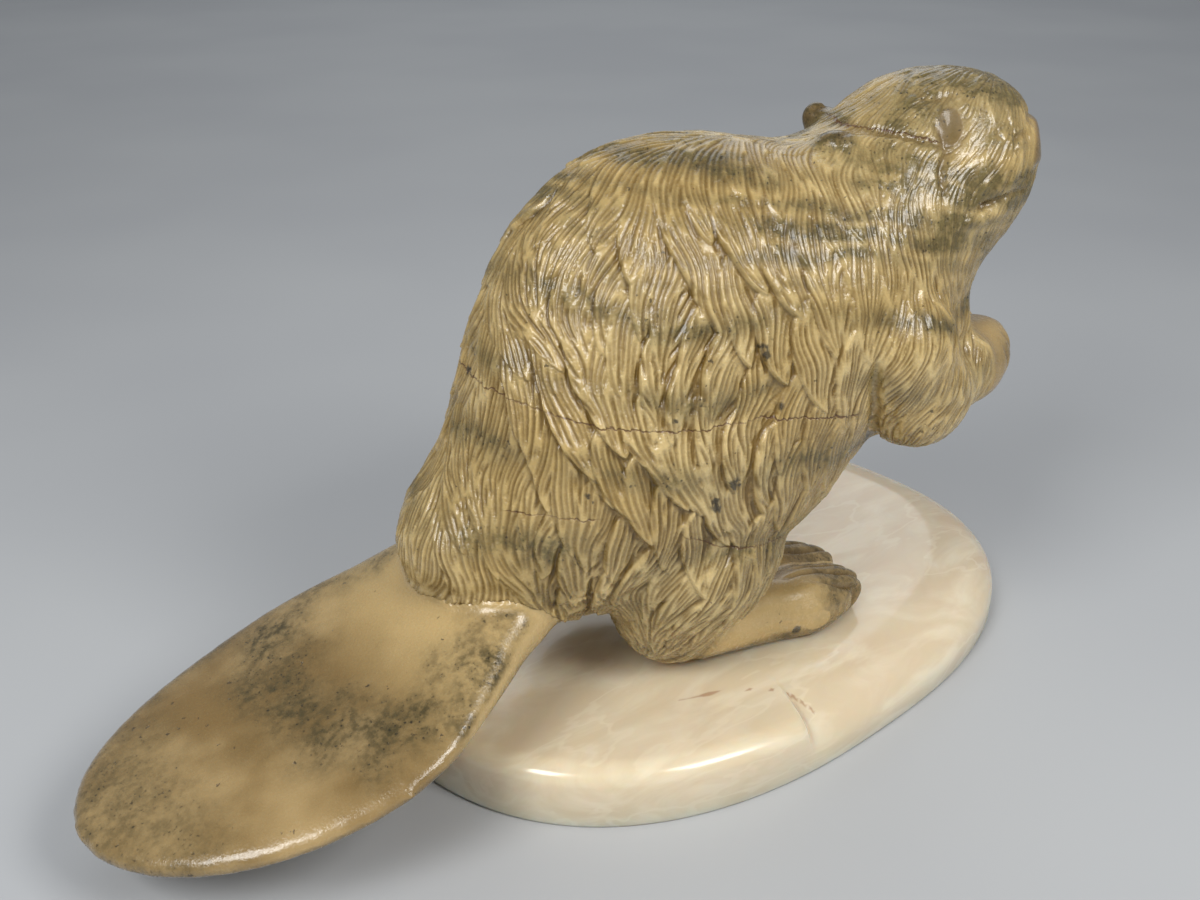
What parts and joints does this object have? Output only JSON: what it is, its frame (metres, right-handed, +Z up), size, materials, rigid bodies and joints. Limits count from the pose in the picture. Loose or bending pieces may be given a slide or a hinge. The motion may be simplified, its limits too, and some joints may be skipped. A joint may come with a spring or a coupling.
{
  "type": "carved stone beaver sculpture on an alabaster base",
  "caption": "Table-top stone carving of a beaver sitting up on its hind feet, head turned to its right, flat paddle tail laid out behind, fixed on an oval polished alabaster slab.",
  "frame": {"origin": "middle of the slab's flat underside", "axes": "+X the way the animal faces, +Y its left, +Z up"},
  "size_m": [0.3439, 0.1888, 0.1974],
  "materials": {
    "stone": "carved, then waxed; polished smooth on the tail, feet and paws",
    "alabaster": "polished, slightly translucent"
  },
  "bodies": {
    "root": {"base": "alabaster", "trunk": "stone", "neck": "stone", "head": "stone", "tail": "stone", "ear_left": "stone", "ear_right": "stone", "eye_left": "stone", "eye_right": "stone", "hindleg_left": "stone", "hindleg_right": "stone", "hindfoot_left": "stone", "hindfoot_right": "stone", "foreleg_left": "stone", "foreleg_right": "stone", "forepaw_left": "stone", "forepaw_right": "stone"}
  },
  "joints": []
}
